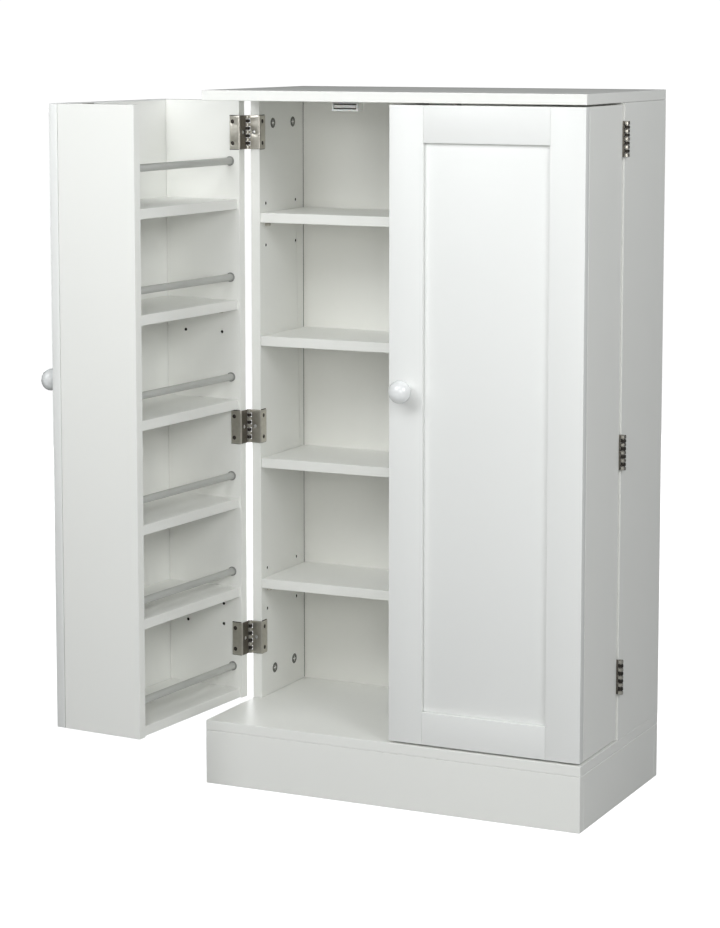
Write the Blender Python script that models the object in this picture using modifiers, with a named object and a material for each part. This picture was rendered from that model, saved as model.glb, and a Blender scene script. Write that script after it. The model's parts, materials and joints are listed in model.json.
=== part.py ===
"""Free-standing pantry cabinet with two deep doors.

The carcass is a shallow board box on a plinth: base, top, two sides, a thin back in grooves and
four shelves.  Each door is an open-backed box of its own, with a framed front, two sides, six
shelves and six guard rods, and swings on three wrap-round hinges.  The right door is closed and
the left one stands open.

Units are metres.  X runs to the right, Y to the back and Z up.  The origin is on the floor, in
the middle of the width, under the middle of the front plinth board's thickness.
"""
import math

import bmesh
import bpy
from mathutils import Matrix, Vector

# ---- Overall sizes ------------------------------------------------------------------------
OVERALL_WIDTH = 0.600
OVERALL_DEPTH = 0.330
OVERALL_HEIGHT = 1.040

# ---- Boards -------------------------------------------------------------------------------
BOARD = 0.015                   # melamine board used for everything but the back
PLINTH_HEIGHT = 0.082
FIT = 0.0003                    # gap left between pieces that touch
BACK_THICKNESS = 0.005
BACK_RECESS = 0.024             # from the cabinet's rear face to the back board
BACK_GROOVE_DEPTH = 0.006       # how far the back board enters the boards round it
GROOVE_PLAY = 0.0005            # free width on each side of the back board in its groove
SHELF_SETBACK = 0.001           # from the sides' front edge to the shelves' front edge
SHELF_COUNT = 4

# ---- Doors --------------------------------------------------------------------------------
DOOR_DEPTH = 0.1475             # front panel and side panels together
DOOR_SIDE_INSET = 0.002         # outer side of a door behind the cabinet's side
DOOR_MIDDLE_GAP = 0.003
DOOR_END_GAP = 0.003            # over and under a door
LEFT_DOOR_OPENING = math.radians(94.0)
STILE_WIDTH = 0.0525
TOP_RAIL_WIDTH = 0.053
BOTTOM_RAIL_WIDTH = 0.048
FRONT_RECESS = 0.006            # sunk field inside the stiles and rails

DOOR_TOP_BIN = 0.1643           # from the highest door shelf's underside to the door's top
DOOR_LOW_SHELF = 0.159          # the second door shelf's underside, on pins
DOOR_BIN_STEPS = (0.91, 1.0, 1.0, 1.0)      # relative steps from it to the highest one
DOOR_SHELF_SETBACK = 0.004
ROD_RISES = (0.049, 0.039, 0.049, 0.049, 0.049, 0.0726)     # over each shelf's underside
ROD_RADIUS = 0.0055
ROD_SETBACK = 0.0165            # from the door's rear edge to the rods' centre line

KNOB_HEIGHT = 0.516             # over the door's lower end
KNOB_BALL_RADIUS = 0.0165
KNOB_NECK_RADIUS = 0.0065
KNOB_NECK_LENGTH = 0.007
KNOB_FOOT_RADIUS = 0.009
KNOB_FOOT_LENGTH = 0.002
KNOB_FLATTENING = 0.82          # length of the ball along its axis, as a share of its width

# ---- Shelf pin holes ----------------------------------------------------------------------
PIN_HOLE_RADIUS = 0.0025
PIN_HOLE_DEPTH = 0.009
PIN_PITCH = 0.032               # from one row of holes to the next
PIN_DROP = 0.0035               # from a shelf's underside down to its pins
PIN_INSET = 0.0205              # from the sides' front edge to the first column
PIN_COLUMN_SPACING = 0.100
DOOR_SPARE_ROW_DROP = 0.0135    # from the second door shelf down to the spare row under it
DOOR_PIN_INSET = 0.033
DOOR_PIN_COLUMN_SPACING = 0.066

# ---- Hinges -------------------------------------------------------------------------------
LEAF_HEIGHT = 0.051
LEAF_THICKNESS = 0.0014
LEAF_GAP = 0.0003               # between the two leaves of a closed hinge
LEAF_WRAP = 0.0165              # part of a leaf that lies on a board's inner face
BARREL_RADIUS = 0.0038
BARREL_CLEARANCE = 0.0004       # round the barrel, to the cabinet's side and the other leaf
KNUCKLE_COUNT = 9
KNUCKLE_GAP = 0.0003
HINGE_PIN_RADIUS = 0.0017
HINGE_PIN_CLEARANCE = 0.0001
HINGE_PIN_END_COVER = 0.002     # metal left over each end of the pin
TOP_HINGE_DROP = 0.0485         # from the door's top to the top hinge's middle
BOTTOM_HINGE_RISE = 0.093       # from the door's lower end to the bottom hinge's middle
MIDDLE_HINGE_DROP = 0.0025      # from the door shelf over it to the middle hinge's top
BARREL_SIDES = 16

# ---- Magnetic catches ---------------------------------------------------------------------
CATCH_SIZE = (0.041, 0.018, 0.013)
CATCH_FROM_DOOR_EDGE = 0.0755   # from a door's free edge to the catch's middle
CATCH_TO_DOOR = 0.0025          # left for the striker plate behind the front panel

# ---- Places worked out from the sizes above -------------------------------------------------
FRONT_Y = -BOARD / 2
REAR_Y = FRONT_Y + OVERALL_DEPTH
HALF_WIDTH = OVERALL_WIDTH / 2
BASE_TOP = PLINTH_HEIGHT + BOARD
TOP_UNDER = OVERALL_HEIGHT - BOARD

DOOR_FRONT_Y = FRONT_Y + 0.002
DOOR_REAR_Y = DOOR_FRONT_Y + DOOR_DEPTH
HINGE_Y = DOOR_REAR_Y + FIT + LEAF_THICKNESS + LEAF_GAP / 2
CARCASS_FRONT_Y = HINGE_Y + LEAF_GAP / 2 + LEAF_THICKNESS + FIT
HINGE_OFFSET = BARREL_RADIUS + BARREL_CLEARANCE     # axis outside the cabinet's side face
HINGE_X = HALF_WIDTH + HINGE_OFFSET

DOOR_BOTTOM = BASE_TOP + DOOR_END_GAP
DOOR_TOP = TOP_UNDER - DOOR_END_GAP
DOOR_OUTER_X = HALF_WIDTH - DOOR_SIDE_INSET
DOOR_FREE_X = DOOR_MIDDLE_GAP / 2

BACK_REAR_Y = REAR_Y - BACK_RECESS
BACK_FRONT_Y = BACK_REAR_Y - BACK_THICKNESS

WHITE = (0.90, 0.90, 0.885, 1.0)
BACK_WHITE = (0.84, 0.84, 0.82, 1.0)
SATIN_STEEL = (0.60, 0.58, 0.55, 1.0)
ROD_GREY = (0.70, 0.70, 0.69, 1.0)
KNOB_WHITE = (0.93, 0.93, 0.94, 1.0)
CATCH_WHITE = (0.88, 0.88, 0.87, 1.0)


# ---- Scene, materials and shapes ------------------------------------------------------------
def start_scene():
    """Empty the file and make one collection for the parts and one for the cutters."""
    for old in list(bpy.data.objects):
        bpy.data.objects.remove(old, do_unlink=True)
    parts = bpy.data.collections.new("pantry_cabinet")
    cutters = bpy.data.collections.new("cutters")
    for group in (parts, cutters):
        bpy.context.scene.collection.children.link(group)
    return parts, cutters


PARTS, CUTTERS = start_scene()


def finish(part, colour, roughness, metallic=0.0):
    """Give a part its own material."""
    material = bpy.data.materials.new(part.name + "_finish")
    material.use_nodes = True
    shader = material.node_tree.nodes["Principled BSDF"]
    shader.inputs["Base Color"].default_value = colour
    shader.inputs["Roughness"].default_value = roughness
    shader.inputs["Metallic"].default_value = metallic
    part.data.materials.append(material)


def add_object(name, mesh, place, pivot=None, group=PARTS):
    """Put a mesh in the scene; place is where its origin is before the pivot turns."""
    part = bpy.data.objects.new(name, mesh)
    part.location = place
    group.objects.link(part)
    if pivot is not None:
        part.parent = pivot
        part.matrix_parent_inverse = Matrix.Translation(-pivot.location)
    return part


def mesh_from(name, bm):
    bmesh.ops.recalc_face_normals(bm, faces=bm.faces)
    mesh = bpy.data.meshes.new(name)
    bm.to_mesh(mesh)
    bm.free()
    return mesh


def span(a, b):
    """Middle and length of a stretch whose ends come in either order."""
    return (a + b) / 2, abs(b - a)


def box_mesh(name, boxes):
    """A mesh of one or more boxes, each given as ((x0, x1), (y0, y1), (z0, z1))."""
    bm = bmesh.new()
    for box in boxes:
        spans = [span(*ends) for ends in box]
        centre = Vector([middle for middle, length in spans])
        size = [length for middle, length in spans]
        matrix = Matrix.Translation(centre) @ Matrix.Diagonal((*size, 1.0))
        bmesh.ops.create_cube(bm, size=1.0, matrix=matrix)
    return mesh_from(name, bm)


def board(name, x, y, z, pivot=None, colour=WHITE, roughness=0.42):
    """A board between two places along each axis, with its origin in its middle."""
    spans = [span(*ends) for ends in (x, y, z)]
    centre = [middle for middle, length in spans]
    sides = [(-length / 2, length / 2) for middle, length in spans]
    part = add_object(name, box_mesh(name, [sides]), centre, pivot)
    finish(part, colour, roughness)
    return part


def cylinders_mesh(name, radius, length, axis, places, segments):
    """A mesh of equal cylinders along X, Y or Z, each with its middle at a place."""
    turns = {"X": ("Y", 90.0), "Y": ("X", 90.0), "Z": ("Z", 0.0)}
    turn_axis, degrees = turns[axis]
    turn = Matrix.Rotation(math.radians(degrees), 4, turn_axis)
    bm = bmesh.new()
    for place in places:
        bmesh.ops.create_cone(
            bm, cap_ends=True, segments=segments, radius1=radius, radius2=radius,
            depth=length, matrix=Matrix.Translation(place) @ turn)
    return mesh_from(name, bm)


def shade_round(part):
    part.data.shade_smooth()
    part.data.set_sharp_from_angle(angle=math.radians(35.0))


def combine(part, tool_mesh, operation, pivot=None):
    """Cut or join a part with a mesh that is given in closed-door coordinates."""
    tool = add_object("cutter_" + tool_mesh.name, tool_mesh, (0.0, 0.0, 0.0), pivot, CUTTERS)
    tool.hide_render = True
    tool.display_type = "WIRE"
    modifier = part.modifiers.new(tool.name, "BOOLEAN")
    modifier.operation = operation
    modifier.solver = "EXACT"
    modifier.object = tool


# ---- Heights of shelves, rods and hinges -----------------------------------------------------
def cabinet_shelf_unders():
    """Undersides of the cabinet's shelves, equally spaced, from the lowest up."""
    clear = (TOP_UNDER - BASE_TOP - SHELF_COUNT * BOARD) / (SHELF_COUNT + 1)
    return [BASE_TOP + clear + i * (clear + BOARD) for i in range(SHELF_COUNT)]


def door_shelf_unders():
    """Undersides of a door's shelves, from the one that closes its lower end up."""
    lowest = DOOR_BOTTOM
    second = DOOR_BOTTOM + DOOR_LOW_SHELF
    highest = DOOR_TOP - DOOR_TOP_BIN
    step = (highest - second) / sum(DOOR_BIN_STEPS)
    unders = [lowest, second]
    for share in DOOR_BIN_STEPS:
        unders.append(unders[-1] + share * step)
    return unders


def hinge_heights():
    """Middles of the three hinges: the middle one hangs right under the fourth door shelf."""
    middle = door_shelf_unders()[3] - MIDDLE_HINGE_DROP - LEAF_HEIGHT / 2
    return [DOOR_BOTTOM + BOTTOM_HINGE_RISE, middle, DOOR_TOP - TOP_HINGE_DROP]


def pin_hole_rows(shelf_under, drop, steps):
    """Rows of holes by a shelf: row 0 is the drop below it, the rest are steps of the pitch."""
    return [shelf_under - drop + i * PIN_PITCH for i in steps]


def drill_pin_holes(panel, face_x, into, columns, rows, pivot=None):
    """Drill blind holes along X from face_x; into is the direction of the wood."""
    overshoot = 0.002
    middle_x = face_x + into * (PIN_HOLE_DEPTH - overshoot) / 2
    places = [(middle_x, y, z) for y in columns for z in rows]
    drills = cylinders_mesh(panel.name + "_pins", PIN_HOLE_RADIUS, PIN_HOLE_DEPTH + overshoot,
                            "X", places, segments=8)
    combine(panel, drills, "DIFFERENCE", pivot)


# ---- Carcass ----------------------------------------------------------------------------------
def build_plinth():
    """Four boards on edge under the base, the front and back ones the full width."""
    z = (0.0, PLINTH_HEIGHT - FIT)
    full = (-HALF_WIDTH, HALF_WIDTH)
    board("plinth_front", full, (FRONT_Y, FRONT_Y + BOARD), z)
    board("plinth_back", full, (REAR_Y - BOARD, REAR_Y), z)
    for side, word in ((-1, "left"), (1, "right")):
        x = (side * HALF_WIDTH, side * (HALF_WIDTH - BOARD))
        board("plinth_" + word, x, (FRONT_Y + BOARD + FIT, REAR_Y - BOARD - FIT), z)


def back_groove():
    """The groove that the back board slides in, as one box a little larger than the board."""
    reach = BACK_GROOVE_DEPTH
    return ((-HALF_WIDTH + BOARD - reach, HALF_WIDTH - BOARD + reach),
            (BACK_FRONT_Y - GROOVE_PLAY, BACK_REAR_Y + GROOVE_PLAY),
            (BASE_TOP - reach, TOP_UNDER + reach))


def build_carcass():
    full = (-HALF_WIDTH, HALF_WIDTH)
    depth = (FRONT_Y, REAR_Y)
    grooved = [board("base_panel", full, depth, (PLINTH_HEIGHT, BASE_TOP)),
               board("top_panel", full, depth, (TOP_UNDER, OVERALL_HEIGHT))]
    movable = (cabinet_shelf_unders()[0], cabinet_shelf_unders()[-1])
    rows = [row for under in movable for row in pin_hole_rows(under, PIN_DROP, (-1, 0, 1))]
    first = CARCASS_FRONT_Y + PIN_INSET
    for side, word in ((-1, "left"), (1, "right")):
        inner_x = side * (HALF_WIDTH - BOARD)
        panel = board("side_panel_" + word, (side * HALF_WIDTH, inner_x),
                      (CARCASS_FRONT_Y, REAR_Y), (BASE_TOP + FIT, TOP_UNDER - FIT))
        drill_pin_holes(panel, inner_x, side, (first, first + PIN_COLUMN_SPACING), rows)
        grooved.append(panel)
    for panel in grooved:
        combine(panel, box_mesh(panel.name + "_groove", [back_groove()]), "DIFFERENCE")

    grip = BACK_GROOVE_DEPTH - FIT
    half = HALF_WIDTH - BOARD + grip
    board("back_panel", (-half, half), (BACK_FRONT_Y, BACK_REAR_Y),
          (BASE_TOP - grip, TOP_UNDER + grip), colour=BACK_WHITE)

    inner = HALF_WIDTH - BOARD - FIT
    for number, under in enumerate(cabinet_shelf_unders(), start=1):
        board(f"shelf_{number}", (-inner, inner),
              (CARCASS_FRONT_Y + SHELF_SETBACK, BACK_FRONT_Y - FIT), (under, under + BOARD))


def build_catch(side, word):
    """A magnet block screwed under the top, which holds a closed door by its striker plate."""
    width, depth, height = CATCH_SIZE
    middle_x = side * (DOOR_FREE_X + CATCH_FROM_DOOR_EDGE)
    near_y = DOOR_FRONT_Y + BOARD + CATCH_TO_DOOR
    block = board("magnetic_catch_" + word, (middle_x - width / 2, middle_x + width / 2),
                  (near_y, near_y + depth), (TOP_UNDER - FIT - height, TOP_UNDER - FIT),
                  colour=CATCH_WHITE, roughness=0.45)
    rounding = block.modifiers.new("soft_edges", "BEVEL")
    rounding.width = 0.0012
    rounding.segments = 2
    rounding.limit_method = "ANGLE"


# ---- Hinges -------------------------------------------------------------------------------------
def leaf_outline(board_inner, depth_sign):
    """Outline of a leaf seen from above, with the barrel's centre at the origin.

    The first axis points out of the cabinet's side.  board_inner is how far in from the barrel's
    centre the board's inner face is, and depth_sign is 1 for the cabinet's leaf and -1 for the
    door's.  The leaf runs from the barrel over the board's edge and wraps on to its inner face.
    """
    near = LEAF_GAP / 2
    far = near + LEAF_THICKNESS
    wrap_end = far + LEAF_WRAP
    start = math.pi - math.asin(near / BARREL_RADIUS)
    stop = 3.0 * math.pi - math.asin(far / BARREL_RADIUS)
    points = []
    for i in range(BARREL_SIDES + 1):
        angle = start + (stop - start) * i / BARREL_SIDES
        points.append((BARREL_RADIUS * math.cos(angle), BARREL_RADIUS * math.sin(angle)))
    inner_near = -(board_inner + FIT)
    inner_far = inner_near - LEAF_THICKNESS
    points += [(inner_near, far), (inner_near, wrap_end), (inner_far, wrap_end),
               (inner_far, near)]
    return [(out, depth_sign * depth) for out, depth in points]


def extruded_mesh(name, points, height):
    """A flat outline filled and raised to a height, as a closed mesh about Z = 0."""
    curve = bpy.data.curves.new(name, "CURVE")
    curve.dimensions = "2D"
    curve.fill_mode = "BOTH"
    curve.extrude = height / 2
    spline = curve.splines.new("POLY")
    spline.points.add(len(points) - 1)
    for slot, point in zip(spline.points, points):
        slot.co = (*point, 0.0, 1.0)
    spline.use_cyclic_u = True
    source = bpy.data.objects.new(name, curve)
    PARTS.objects.link(source)
    bpy.context.view_layer.update()
    evaluated = source.evaluated_get(bpy.context.evaluated_depsgraph_get())
    bm = bmesh.new()
    bm.from_mesh(bpy.data.meshes.new_from_object(evaluated))
    bpy.data.objects.remove(source, do_unlink=True)
    bmesh.ops.remove_doubles(bm, verts=bm.verts, dist=0.00001)
    return mesh_from(name, bm)


def knuckle_zones(first):
    """Height ranges of every second knuckle about the hinge's middle, counted from first."""
    length = LEAF_HEIGHT / KNUCKLE_COUNT
    bottom = -LEAF_HEIGHT / 2
    return [(bottom + i * length, bottom + (i + 1) * length)
            for i in range(first, KNUCKLE_COUNT, 2)]


def build_leaf(name, side, height, on_door, pivot=None):
    """One leaf; the cabinet's has the outer knuckles and the pin, the door's the inner ones."""
    board_outer = DOOR_OUTER_X if on_door else HALF_WIDTH
    board_inner = HINGE_X - (board_outer - BOARD)
    outline = [(side * x, y) for x, y in leaf_outline(board_inner, -1 if on_door else 1)]
    centre = Vector((side * HINGE_X, HINGE_Y, height))
    leaf = add_object(name, extruded_mesh(name, outline, LEAF_HEIGHT), centre, pivot)

    reach = BARREL_RADIUS + BARREL_CLEARANCE
    x = (centre.x - reach, centre.x + reach)
    y = (centre.y - reach, centre.y + reach)
    other_zones = knuckle_zones(0 if on_door else 1)
    slots = [(x, y, (height + low - KNUCKLE_GAP / 2, height + high + KNUCKLE_GAP / 2))
             for low, high in other_zones]
    combine(leaf, box_mesh(name + "_slots", slots), "DIFFERENCE", pivot)

    if on_door:
        bore = cylinders_mesh(name + "_bore", HINGE_PIN_RADIUS + HINGE_PIN_CLEARANCE,
                              2 * LEAF_HEIGHT, "Z", [centre], BARREL_SIDES)
        combine(leaf, bore, "DIFFERENCE", pivot)
    else:
        pin = cylinders_mesh(name + "_pin", HINGE_PIN_RADIUS,
                             LEAF_HEIGHT - 2 * HINGE_PIN_END_COVER, "Z", [centre], BARREL_SIDES)
        combine(leaf, pin, "UNION", pivot)
    finish(leaf, SATIN_STEEL, 0.34, 1.0)
    return leaf


# ---- Doors --------------------------------------------------------------------------------------
def build_front_panel(word, side, pivot):
    """Stiles and rails round a sunk field."""
    outer_x, free_x = side * DOOR_OUTER_X, side * DOOR_FREE_X
    panel = board(word + "_door_front", (outer_x, free_x), (DOOR_FRONT_Y, DOOR_FRONT_Y + BOARD),
                  (DOOR_BOTTOM, DOOR_TOP), pivot)
    field = ((outer_x - side * STILE_WIDTH, free_x + side * STILE_WIDTH),
             (DOOR_FRONT_Y - FRONT_RECESS, DOOR_FRONT_Y + FRONT_RECESS),
             (DOOR_BOTTOM + BOTTOM_RAIL_WIDTH, DOOR_TOP - TOP_RAIL_WIDTH))
    combine(panel, box_mesh(panel.name + "_field", [field]), "DIFFERENCE", pivot)


def build_door_sides(word, side, pivot):
    """Side boards, drilled for the fifth shelf's pins and for spare rows under the second."""
    y = (DOOR_FRONT_Y + BOARD + FIT, DOOR_REAR_Y)
    z = (DOOR_BOTTOM, DOOR_TOP)
    unders = door_shelf_unders()
    rows = (pin_hole_rows(unders[1], DOOR_SPARE_ROW_DROP, (-1, 0))
            + pin_hole_rows(unders[4], PIN_DROP, (-1, 0)))
    first = DOOR_REAR_Y - DOOR_PIN_INSET
    columns = (first, first - DOOR_PIN_COLUMN_SPACING)
    for name, outer, into in (("hinge_side", DOOR_OUTER_X, 1), ("free_side", DOOR_FREE_X, -1)):
        inner = outer - into * BOARD
        panel = board(f"{word}_door_{name}", (side * outer, side * inner), y, z, pivot)
        drill_pin_holes(panel, side * inner, side * into, columns, rows, pivot)


def build_door_shelves(word, side, pivot):
    """Shelves between the sides, each with a guard rod in front of what stands on it."""
    inner_x = side * (DOOR_OUTER_X - BOARD - FIT)
    free_x = side * (DOOR_FREE_X + BOARD + FIT)
    y = (DOOR_FRONT_Y + BOARD + FIT, DOOR_REAR_Y - DOOR_SHELF_SETBACK)
    middle_x, length = span(inner_x, free_x)
    for number, (under, rise) in enumerate(zip(door_shelf_unders(), ROD_RISES), start=1):
        board(f"{word}_door_shelf_{number}", (inner_x, free_x), y, (under, under + BOARD), pivot)
        name = f"{word}_door_rod_{number}"
        mesh = cylinders_mesh(name, ROD_RADIUS, length, "X", [(0.0, 0.0, 0.0)], segments=16)
        rod = add_object(name, mesh, (middle_x, DOOR_REAR_Y - ROD_SETBACK, under + rise), pivot)
        shade_round(rod)
        finish(rod, ROD_GREY, 0.3)


def knob_profile():
    """Half outline of the knob from its tip down to its foot, as (radius, height) points."""
    ball_half = KNOB_BALL_RADIUS * KNOB_FLATTENING
    ball_centre = KNOB_FOOT_LENGTH + KNOB_NECK_LENGTH + ball_half * 0.9
    last = math.asin(KNOB_NECK_RADIUS / KNOB_BALL_RADIUS)
    steps = 9
    points = []
    for i in range(steps + 1):
        angle = (math.pi - last) * i / steps
        points.append((KNOB_BALL_RADIUS * math.sin(angle),
                       ball_centre + ball_half * math.cos(angle)))
    points += [(KNOB_NECK_RADIUS, KNOB_FOOT_LENGTH + 0.001),
               (KNOB_FOOT_RADIUS, KNOB_FOOT_LENGTH), (KNOB_FOOT_RADIUS, 0.0), (0.0, 0.0)]
    return points


def build_knob(word, side, pivot):
    """A turned ball knob in the middle of the free stile."""
    name = word + "_door_knob"
    bm = bmesh.new()
    verts = [bm.verts.new((radius, 0.0, height)) for radius, height in knob_profile()]
    for start, end in zip(verts, verts[1:]):
        bm.edges.new((start, end))
    mesh = bpy.data.meshes.new(name)
    bm.to_mesh(mesh)
    bm.free()
    place = (side * (DOOR_FREE_X + STILE_WIDTH / 2), DOOR_FRONT_Y - FIT,
             DOOR_BOTTOM + KNOB_HEIGHT)
    knob = add_object(name, mesh, place, pivot)
    knob.rotation_euler = (math.radians(90.0), 0.0, 0.0)
    turning = knob.modifiers.new("turned", "SCREW")
    turning.steps = 20
    turning.render_steps = 20
    turning.use_merge_vertices = True
    turning.merge_threshold = 0.0001
    turning.use_smooth_shade = True
    finish(knob, KNOB_WHITE, 0.15)


def build_door(word, side, opening):
    """A whole door on a pivot at its hinge axis; opening turns it out of the front."""
    pivot = bpy.data.objects.new(word + "_door_pivot", None)
    pivot.location = (side * HINGE_X, HINGE_Y, 0.0)
    PARTS.objects.link(pivot)
    build_front_panel(word, side, pivot)
    build_door_sides(word, side, pivot)
    build_door_shelves(word, side, pivot)
    build_knob(word, side, pivot)
    for number, height in enumerate(hinge_heights(), start=1):
        name = f"{word}_hinge_{number}"
        build_leaf(name + "_cabinet_leaf", side, height, False)
        build_leaf(name + "_door_leaf", side, height, True, pivot)
    build_catch(side, word)
    pivot.rotation_euler = (0.0, 0.0, side * opening)


build_plinth()
build_carcass()
build_door("left", -1, LEFT_DOOR_OPENING)
build_door("right", 1, 0.0)
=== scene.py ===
import json
import math

import bmesh
import bpy
from mathutils import Matrix, Vector


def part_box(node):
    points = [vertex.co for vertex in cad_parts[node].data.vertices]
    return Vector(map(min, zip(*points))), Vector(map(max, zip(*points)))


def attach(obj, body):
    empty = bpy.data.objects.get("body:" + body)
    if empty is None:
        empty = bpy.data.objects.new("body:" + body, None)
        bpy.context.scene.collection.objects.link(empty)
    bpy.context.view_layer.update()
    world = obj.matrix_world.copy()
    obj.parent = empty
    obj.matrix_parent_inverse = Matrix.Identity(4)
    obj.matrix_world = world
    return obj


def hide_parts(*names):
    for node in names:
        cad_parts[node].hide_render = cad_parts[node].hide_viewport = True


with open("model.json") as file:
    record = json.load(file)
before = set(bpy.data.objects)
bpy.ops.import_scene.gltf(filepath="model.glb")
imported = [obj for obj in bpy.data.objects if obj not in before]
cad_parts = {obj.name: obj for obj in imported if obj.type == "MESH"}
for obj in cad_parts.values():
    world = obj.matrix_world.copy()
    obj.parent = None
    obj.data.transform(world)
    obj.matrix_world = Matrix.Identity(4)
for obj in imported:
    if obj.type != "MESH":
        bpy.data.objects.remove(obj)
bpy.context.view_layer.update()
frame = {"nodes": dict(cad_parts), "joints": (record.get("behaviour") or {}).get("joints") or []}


# ---- Plinth -----------------------------------------------------------------------------------
# Four boards on edge that lift the cabinet off the floor: front and back run the full width and
# the two short ones are dowelled between them.  15 mm particle board, faced with white melamine,
# sawn to size and edged with thin PVC whose corners are scraped round.

def linear(colour):
    """Linear red, green, blue and alpha of an sRGB hex colour."""
    parts = [int(colour[i:i + 2], 16) / 255 for i in (1, 3, 5)]
    return [p / 12.92 if p < 0.04045 else ((p + 0.055) / 1.055) ** 2.4 for p in parts] + [1.0]


def add(tree, kind, settings=None, links=None):
    """Add a node, or take one that is there, with its settings and what feeds its inputs."""
    node = tree.nodes.new("ShaderNode" + kind) if isinstance(kind, str) else kind
    for key, value in (settings or {}).items():
        if key in node.inputs:
            node.inputs[key].default_value = value
        else:
            setattr(node, key, value)
    for key, source in (links or {}).items():
        tree.links.new(source, node.inputs[key])
    return node


def new_finish(name):
    """A new material with its node tree, its shader and the piece's own coordinates in metres."""
    finish = bpy.data.materials.new(name)
    finish.use_nodes = True
    tree = finish.node_tree
    where = add(tree, "TexCoord").outputs["Object"]
    return finish, tree, tree.nodes["Principled BSDF"], where


# Melamine facing: decor paper soaked in resin and pressed hot against a satin steel plate.  The
# eye gets an even, faintly warm white with a soft sheen over a very shallow pebbled skin.  The
# real pebble is about 0.4 mm across, and it is drawn 2 mm across so that it shows at all.
MELAMINE_PEBBLE = 0.002
melamine, tree, shader, where = new_finish("white_melamine_facing")
paper = add(tree, "TexNoise", {"Scale": 1 / 0.16, "Detail": 3.0}, {"Vector": where})
tone = add(tree, "MixRGB", {"Color1": linear("#F7F7F3"), "Color2": linear("#F5F6F2")},
           {"Fac": paper.outputs["Fac"]})
handling = add(tree, "TexNoise", {"Scale": 1 / 0.045, "Detail": 4.0}, {"Vector": where})
sheen = add(tree, "MapRange", {"To Min": 0.36, "To Max": 0.50},
            {"Value": handling.outputs["Fac"]})
pebble = add(tree, "TexNoise", {"Scale": 1 / MELAMINE_PEBBLE, "Detail": 1.0}, {"Vector": where})
skin = add(tree, "Bump", {"Strength": 0.25, "Distance": 0.00004},
           {"Height": pebble.outputs["Fac"]})
add(tree, shader, {"IOR": 1.5}, {"Base Color": tone.outputs["Color"],
    "Roughness": sheen.outputs["Result"], "Normal": skin.outputs["Normal"]})

# PVC edging: thin strip glued on and scraped round along the board's edges.  The scraped line is
# a little glossier than the facing and picks up faint grey scuffs where it is handled.
edging, tree, shader, where = new_finish("scraped_pvc_edging")
scuff = add(tree, "TexNoise", {"Scale": 1 / 0.014, "Detail": 5.0, "Roughness": 0.65},
            {"Vector": where})
worn = add(tree, "MapRange", {"From Min": 0.60, "From Max": 0.78},
           {"Value": scuff.outputs["Fac"]})
tone = add(tree, "MixRGB", {"Color1": linear("#F7F7F4"), "Color2": linear("#E0DFDA")},
           {"Fac": worn.outputs["Result"]})
sheen = add(tree, "MapRange", {"To Min": 0.28, "To Max": 0.46}, {"Value": scuff.outputs["Fac"]})
scrape = add(tree, "TexNoise", {"Scale": 1 / 0.003, "Detail": 2.0}, {"Vector": where})
skin = add(tree, "Bump", {"Strength": 0.3, "Distance": 0.00005},
           {"Height": scrape.outputs["Fac"]})
add(tree, shader, {"IOR": 1.52}, {"Base Color": tone.outputs["Color"],
    "Roughness": sheen.outputs["Result"], "Normal": skin.outputs["Normal"]})


BOARD_EASING = 0.0008                   # how far the edging is scraped round
WELD_GAP = 0.00001
FLAT_WITHIN = math.radians(1.0)         # faces closer to flat than this are made one
CORNER_OVER = math.radians(50.0)        # edges sharper than this are eased


def ease_board(name, radius=BOARD_EASING, face=melamine, lip=edging):
    """Scrape a CAD board's edges round and give its faces and that rounding their finishes."""
    board = frame["nodes"][name]
    board.material_slots[0].material = face
    board.data.materials.append(lip)
    seams = board.modifiers.new("closed_seams", "WELD")
    seams.merge_threshold = WELD_GAP
    whole = board.modifiers.new("whole_faces", "DECIMATE")
    whole.decimate_type = "DISSOLVE"
    whole.angle_limit = FLAT_WITHIN
    easing = board.modifiers.new("eased_edges", "BEVEL")
    easing.width = radius
    easing.segments = 3
    easing.limit_method = "ANGLE"
    easing.angle_limit = CORNER_OVER
    easing.material = 1


for plinth_board in ("plinth_front", "plinth_back", "plinth_left", "plinth_right"):
    ease_board(plinth_board)


# ---- Carcass ----------------------------------------------------------------------------------
# Base and top panel with two sides between them, cam-locked together.  The sides are drilled for
# shelf pins and everything is grooved for the back.  Same melamine-faced board as the plinth.

SIDE_EASING = 0.0004                    # drilled boards: keeps their holes' rims crisp

for carcass_board in ("base_panel", "top_panel"):
    ease_board(carcass_board)
for carcass_board in ("side_panel_left", "side_panel_right"):
    ease_board(carcass_board, SIDE_EASING)


# ---- Cam locks of the carcass -----------------------------------------------------------------
# Eight zinc cams in blind holes on the sides' inner faces, two near each end.  A quarter turn
# pulls a steel dowel from the base or top panel tight.  Die-cast, so their faces are matt grey.

CAM_RADIUS = 0.0072
CAM_BEHIND_FRONT = (0.0445, 0.1115)     # from the side's front edge
CAM_FROM_END = 0.0384                   # from the base's or the top's face
SMOOTH_UNDER = math.radians(32.0)       # edges flatter than this are shaded smooth

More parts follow.
